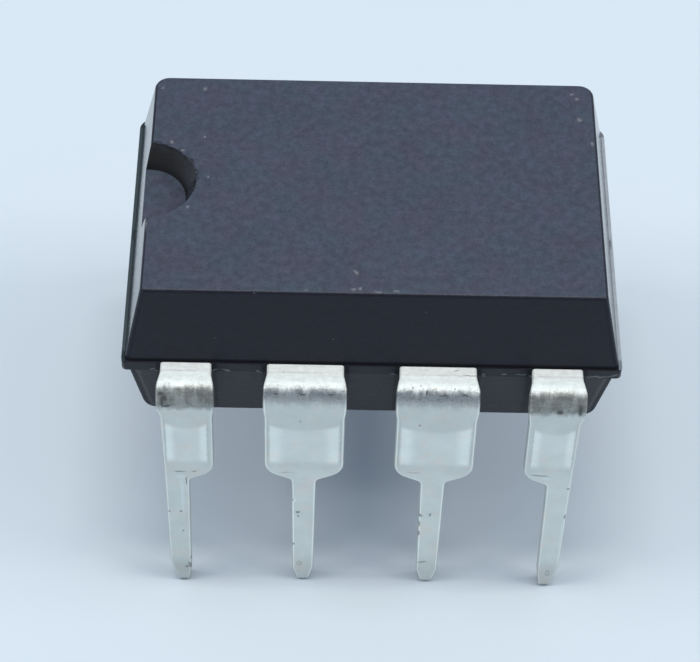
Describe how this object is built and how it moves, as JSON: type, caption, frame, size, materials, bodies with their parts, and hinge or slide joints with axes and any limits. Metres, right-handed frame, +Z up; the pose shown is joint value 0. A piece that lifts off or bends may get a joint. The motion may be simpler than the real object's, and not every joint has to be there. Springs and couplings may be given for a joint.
{
  "type": "dual in-line package integrated circuit",
  "caption": "Black moulded dual in-line chip package with a half-round index notch and two rows of bent, tin-plated through-hole leads.",
  "frame": {"origin": "centre of the bounding box, on the plane of the lead tips", "axes": "+Z up out of the top face, X along the body with the index notch at -X, Y across the two rows of leads with lead 1 at -X -Y"},
  "size_m": [0.0096, 0.0086, 0.0075],
  "materials": {
    "mould_compound": "matte black-grey moulded epoxy with fine speckle and small light scuffs",
    "tinned_lead": "dull tin plating, brighter on the bend and along the sheared edges, with small dark smudges",
    "paddle_alloy": "copper alloy, plated in silver where the chip sits",
    "die_glue": "silver-filled epoxy",
    "silicon": "polished silicon",
    "bond_gold": "bright gold wire"
  },
  "bodies": {
    "root": {"molded_body": "mould_compound", "lead_1": "tinned_lead", "lead_2": "tinned_lead", "lead_3": "tinned_lead", "lead_4": "tinned_lead", "lead_5": "tinned_lead", "lead_6": "tinned_lead", "lead_7": "tinned_lead", "lead_8": "tinned_lead", "die_paddle": "paddle_alloy", "die_attach": "die_glue", "die": "silicon", "bond_wire_1": "bond_gold", "bond_wire_2": "bond_gold", "bond_wire_3": "bond_gold", "bond_wire_4": "bond_gold", "bond_wire_5": "bond_gold", "bond_wire_6": "bond_gold", "bond_wire_7": "bond_gold", "bond_wire_8": "bond_gold"}
  },
  "joints": []
}
